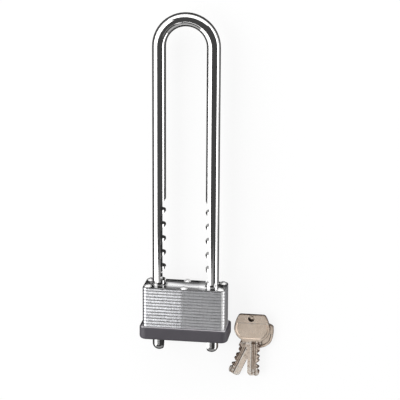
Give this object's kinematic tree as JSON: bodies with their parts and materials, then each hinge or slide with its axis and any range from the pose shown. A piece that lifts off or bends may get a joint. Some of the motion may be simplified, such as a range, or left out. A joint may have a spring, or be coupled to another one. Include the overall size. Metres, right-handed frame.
{
  "type": "adjustable shackle padlock",
  "caption": "Laminated steel padlock with a long notched shackle that ratchets to length, a black bumper round its foot, and keys.",
  "frame": {"origin": "centre of the flat back face of the bumper, on the surface that the lock lies on", "axes": "+X to the right, +Y from the case towards the bow of the shackle, +Z out of the front face"},
  "size_m": [0.0701, 0.1981, 0.0199],
  "materials": {
    "laminated_steel": "zinc plated, satin",
    "rivet_steel": "plated",
    "bumper_plastic": "charcoal, satin",
    "brass": "machined",
    "spring_steel": "bright wire",
    "cast_steel": "sintered",
    "shackle_chrome": "polished chrome",
    "key_metal": "nickel silver, satin"
  },
  "bodies": {
    "case": {"plate_01": "laminated_steel", "plate_02": "laminated_steel", "plate_03": "laminated_steel", "plate_04": "laminated_steel", "plate_05": "laminated_steel", "plate_06": "laminated_steel", "plate_07": "laminated_steel", "plate_08": "laminated_steel", "plate_09": "laminated_steel", "plate_10": "laminated_steel", "plate_11": "laminated_steel", "plate_12": "laminated_steel", "plate_13": "laminated_steel", "plate_14": "laminated_steel", "plate_15": "laminated_steel", "plate_16": "laminated_steel", "rivets": "rivet_steel", "bumper": "bumper_plastic", "cylinder_shell": "brass", "pin_cover": "brass", "driver_pins": "brass", "pin_springs": "spring_steel"},
    "shackle": {"shackle": "shackle_chrome"},
    "plug": {"plug": "brass", "plug_clip": "spring_steel", "key_pins": "brass", "cam": "cast_steel"},
    "pawl_left": {"pawl_left": "cast_steel", "pawl_spring_left": "spring_steel"},
    "pawl_right": {"pawl_right": "cast_steel", "pawl_spring_right": "spring_steel"},
    "key_lower": {"key_lower": "key_metal"},
    "key_upper": {"key_upper": "key_metal"}
  },
  "joints": [
    {"name": "shackle_slide", "type": "slide", "parent": "case", "child": "shackle", "axis": [0, 1, 0], "range_m": [-0.0465, 0.0465]},
    {"name": "plug_turn", "type": "hinge", "parent": "case", "child": "plug", "pos_m": [0, 0, 0.00995], "axis": [0, 1, 0], "range_deg": [0, 90]},
    {"name": "pawl_left_slide", "type": "slide", "parent": "case", "child": "pawl_left", "axis": [1, 0, 0], "range_m": [0, 0.0024], "deforming": ["pawl_spring_left"]},
    {"name": "pawl_right_slide", "type": "slide", "parent": "case", "child": "pawl_right", "axis": [-1, 0, 0], "range_m": [0, 0.0024], "deforming": ["pawl_spring_right"]},
    {"name": "key_lower_lift", "type": "slide", "parent": "case", "child": "key_lower", "axis": [0, 0, 1], "range_m": [0, 0.03]},
    {"name": "key_upper_lift", "type": "slide", "parent": "key_lower", "child": "key_upper", "axis": [0, 0, 1], "range_m": [0, 0.03]}
  ],
  "couplings": [
    {"joint": "pawl_left_slide", "follows": "plug_turn", "m_per_rad": 0.0015279},
    {"joint": "pawl_right_slide", "follows": "plug_turn", "m_per_rad": 0.0015279}
  ]
}
